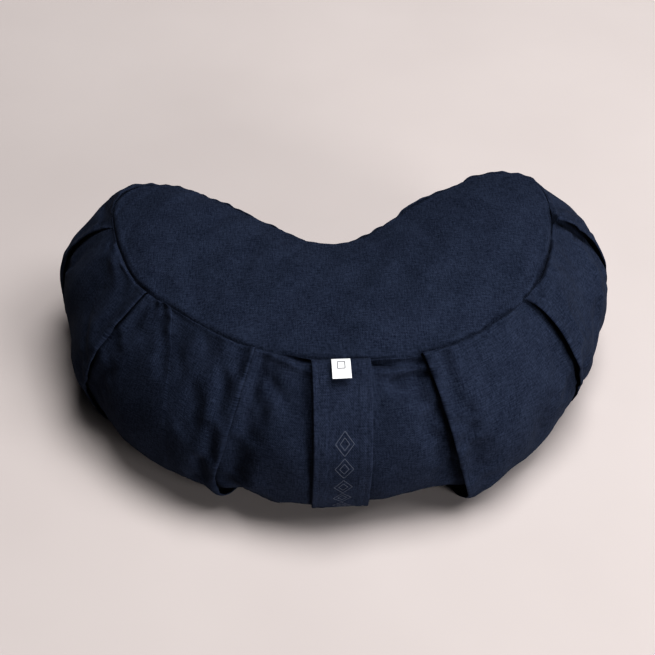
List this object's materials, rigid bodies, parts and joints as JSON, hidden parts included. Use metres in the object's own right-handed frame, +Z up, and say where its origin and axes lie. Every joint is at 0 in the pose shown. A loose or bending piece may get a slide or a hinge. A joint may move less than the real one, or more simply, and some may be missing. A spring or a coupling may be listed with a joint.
{
  "type": "crescent floor cushion",
  "caption": "Crescent sitting cushion: zipped cloth cover with pleated wall and a carry handle, over a zipped liner filled with hulls.",
  "frame": {"origin": "on the floor under the middle of the cushion's box", "axes": "+Z up, +X along the cushion's length, -Y towards the round front with the handle, +Y towards the hollow back"},
  "size_m": [0.4494, 0.3019, 0.139],
  "materials": {
    "cover_cloth": "navy cotton canvas, plain weave, matt",
    "handle_webbing": "navy folded canvas strap with stitched edges, matt",
    "label_cloth": "white woven satin label, folded",
    "cover_zip_tape": "navy woven polyester zip tape",
    "cover_zip_coil": "navy nylon coil, semi-gloss",
    "zip_metal": "cast zinc, dull nickel finish",
    "liner_cloth": "unbleached cotton calico, matt",
    "liner_zip_tape": "ecru woven polyester zip tape",
    "liner_zip_coil": "ecru nylon coil, semi-gloss",
    "hulls": "loose dark brown buckwheat hulls"
  },
  "bodies": {
    "cushion": {"top_panel": "cover_cloth", "front_wall": "cover_cloth", "back_wall": "cover_cloth", "bottom_panel_front": "cover_cloth", "bottom_panel_back": "cover_cloth", "handle_top_end": "handle_webbing", "handle_bottom_end": "handle_webbing", "zip_tape_front": "cover_zip_tape", "zip_tape_back": "cover_zip_tape", "zip_coil_front": "cover_zip_coil", "zip_coil_back": "cover_zip_coil", "zip_top_stop_front": "zip_metal", "zip_top_stop_back": "zip_metal", "zip_bottom_stop": "zip_metal", "liner_zip_top_stop_upper": "zip_metal", "liner_zip_top_stop_lower": "zip_metal", "liner_zip_bottom_stop": "zip_metal", "liner_top_panel": "liner_cloth", "liner_front_wall_upper": "liner_cloth", "liner_front_wall_lower": "liner_cloth", "liner_back_wall": "liner_cloth", "liner_bottom_panel": "liner_cloth", "liner_zip_tape_upper": "liner_zip_tape", "liner_zip_tape_lower": "liner_zip_tape", "liner_zip_coil_upper": "liner_zip_coil", "liner_zip_coil_lower": "liner_zip_coil", "hull_filling": "hulls"},
    "handle": {"carry_handle": "handle_webbing"},
    "label": {"label": "label_cloth"},
    "zip_slider": {"zip_slider": "zip_metal"},
    "zip_pull": {"zip_pull": "zip_metal"},
    "liner_zip_slider": {"liner_zip_slider": "zip_metal"},
    "liner_zip_pull": {"liner_zip_pull": "zip_metal"}
  },
  "joints": [
    {"name": "handle_lift", "type": "slide", "parent": "cushion", "child": "handle", "axis": [0, -1, 0], "range_m": [0, 0.022]},
    {"name": "label_flip", "type": "hinge", "parent": "cushion", "child": "label", "pos_m": [-0.0075, -0.09676, 0.13256], "axis": [-1, 0, 0], "range_deg": [0, 100]},
    {"name": "zip_slide", "type": "slide", "parent": "cushion", "child": "zip_slider", "axis": [1, 0, 0], "range_m": [-0.217, 0]},
    {"name": "zip_pull_flip", "type": "hinge", "parent": "zip_slider", "child": "zip_pull", "pos_m": [0.1085, -0.007, 0.0044], "axis": [0, -1, 0], "range_deg": [0, 175]},
    {"name": "liner_zip_slide", "type": "hinge", "parent": "cushion", "child": "liner_zip_slider", "pos_m": [0, 0.083, 0.06], "axis": [0, 0, 1], "range_deg": [-51.3, 0]},
    {"name": "liner_zip_pull_flip", "type": "hinge", "parent": "liner_zip_slider", "child": "liner_zip_pull", "pos_m": [0.09346, -0.11124, 0.06], "axis": [0, 0, 1], "range_deg": [0, 22]}
  ]
}
